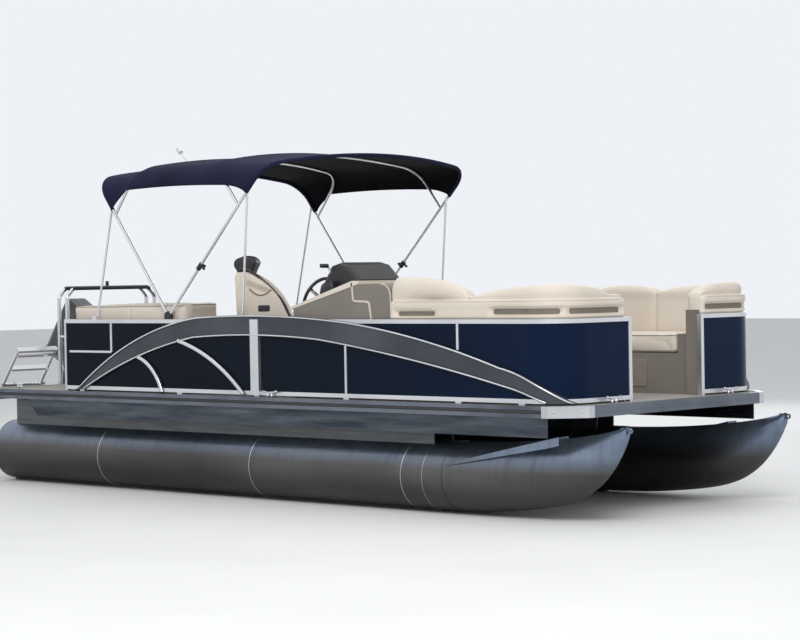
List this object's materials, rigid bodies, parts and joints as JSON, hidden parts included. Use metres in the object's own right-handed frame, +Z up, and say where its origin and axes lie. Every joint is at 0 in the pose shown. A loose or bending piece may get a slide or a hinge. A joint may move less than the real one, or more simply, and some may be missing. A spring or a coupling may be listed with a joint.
{
  "type": "pontoon boat",
  "caption": "Pontoon boat: tubes under a fenced deck, with a folding canopy, lounges, a helm, gates, a tow bar, a boarding ladder and an outboard motor.",
  "frame": {"origin": "middle of the box round the boat, on the plane its keels stand on", "axes": "+X to the bow, +Y to port, +Z up"},
  "size_m": [8.3221, 2.59, 3.0314],
  "materials": {
    "deck": "woven vinyl flooring",
    "rub_rail": "satin",
    "bare_aluminium": "mill",
    "tube_aluminium": "brushed, weathered",
    "rail_aluminium": "anodised",
    "fence_paint": "gloss",
    "arch_paint": "gloss",
    "stainless": "polished",
    "canopy_cloth": "woven",
    "black_plastic": "satin",
    "white_plastic": "gloss",
    "moulded_plastic": "satin",
    "vinyl": "soft grain",
    "motor_paint": "gloss",
    "cowl": "gloss"
  },
  "bodies": {
    "hull": {"deck": "deck", "rub_rail": "rub_rail", "corner_castings": "bare_aluminium", "cross_members": "bare_aluminium", "side_skirts": "bare_aluminium", "tube_starboard": "tube_aluminium", "tube_port": "tube_aluminium", "tube_brackets": "bare_aluminium", "motor_pod": "bare_aluminium", "fence_frame_starboard": "rail_aluminium", "fence_frame_port": "rail_aluminium", "fence_frame_stern": "rail_aluminium", "fence_panels_starboard": "fence_paint", "fence_panels_port": "fence_paint", "fence_panels_stern": "fence_paint", "arch_starboard": "arch_paint", "arch_port": "arch_paint", "gate_hinges": "stainless", "bimini_bow_aft": "rail_aluminium", "bimini_bow_fore": "rail_aluminium", "canopy": "canopy_cloth", "bimini_mounts": "black_plastic", "bimini_braces": "rail_aluminium", "light_staff": "white_plastic", "tow_bar": "stainless", "ladder_mount": "stainless", "console_body": "moulded_plastic", "console_dash": "vinyl", "instrument_hood": "black_plastic", "steering_column": "black_plastic", "helm_pedestal": "bare_aluminium", "lounge_base_starboard": "moulded_plastic", "lounge_base_port": "moulded_plastic", "lounge_back_starboard": "vinyl", "lounge_back_port": "vinyl", "aft_base": "moulded_plastic", "aft_seat": "vinyl", "aft_back": "vinyl", "couch_base": "moulded_plastic", "couch_seat": "vinyl", "couch_back": "vinyl", "outboard_clamp": "motor_paint"},
    "bow_gate": {"bow_gate_frame": "rail_aluminium", "bow_gate_panel": "fence_paint"},
    "stern_gate": {"stern_gate_frame": "rail_aluminium", "stern_gate_panel": "fence_paint"},
    "wheel": {"steering_wheel": "black_plastic"},
    "chair": {"helm_seat": "vinyl"},
    "lid_starboard": {"lounge_seat_starboard": "vinyl"},
    "lid_port": {"lounge_seat_port": "vinyl"},
    "ladder": {"ladder_upper": "stainless"},
    "ladder_foot": {"ladder_lower": "stainless"},
    "motor_swivel": {"outboard_swivel": "motor_paint"},
    "motor": {"outboard_leg": "motor_paint", "outboard_cowl": "cowl", "powerhead": "bare_aluminium"},
    "propeller": {"propeller": "stainless"}
  },
  "joints": [
    {"name": "bow_gate_swing", "type": "hinge", "parent": "hull", "child": "bow_gate", "pos_m": [3.67506, -0.44, 1.17], "axis": [0, 0, 1], "range_deg": [-90, 0]},
    {"name": "stern_gate_swing", "type": "hinge", "parent": "hull", "child": "stern_gate", "pos_m": [-1.96194, 1.132, 1.17], "axis": [0, 0, 1], "range_deg": [0, 90]},
    {"name": "steering_wheel_turn", "type": "hinge", "parent": "hull", "child": "wheel", "pos_m": [0.80906, -0.8, 1.64], "axis": [0.9135, 0, -0.4067], "range_deg": [-450, 450]},
    {"name": "helm_seat_swivel", "type": "hinge", "parent": "hull", "child": "chair", "pos_m": [0.20406, -0.74, 1.215], "axis": [0, 0, 1], "continuous": true},
    {"name": "lounge_lid_starboard", "type": "hinge", "parent": "hull", "child": "lid_starboard", "pos_m": [2.74906, -1.064, 1.3203], "axis": [1, 0, 0], "range_deg": [0, 80]},
    {"name": "lounge_lid_port", "type": "hinge", "parent": "hull", "child": "lid_port", "pos_m": [2.74906, 1.064, 1.3203], "axis": [-1, 0, 0], "range_deg": [0, 80]},
    {"name": "ladder_fold", "type": "hinge", "parent": "hull", "child": "ladder", "pos_m": [-3.13494, -0.86, 0.864], "axis": [0, -1, 0], "range_deg": [0, 200]},
    {"name": "ladder_slide", "type": "slide", "parent": "ladder", "child": "ladder_foot", "axis": [0.605, 0, 0.7963], "range_m": [0, 0.22]},
    {"name": "outboard_tilt", "type": "hinge", "parent": "hull", "child": "motor_swivel", "pos_m": [-3.26094, 0, 0.86], "axis": [0, 1, 0], "range_deg": [-30, 25]},
    {"name": "outboard_steer", "type": "hinge", "parent": "motor_swivel", "child": "motor", "pos_m": [-3.42455, 0, 0.74662], "axis": [0.5, 0, 0.866], "range_deg": [-30, 30]},
    {"name": "propeller_spin", "type": "hinge", "parent": "motor", "child": "propeller", "pos_m": [-4.054, 0, 0.33638], "axis": [-0.866, 0, 0.5], "continuous": true}
  ],
  "couplings": [
    {"joint": "steering_wheel_turn", "follows": "outboard_steer", "ratio": 15}
  ]
}
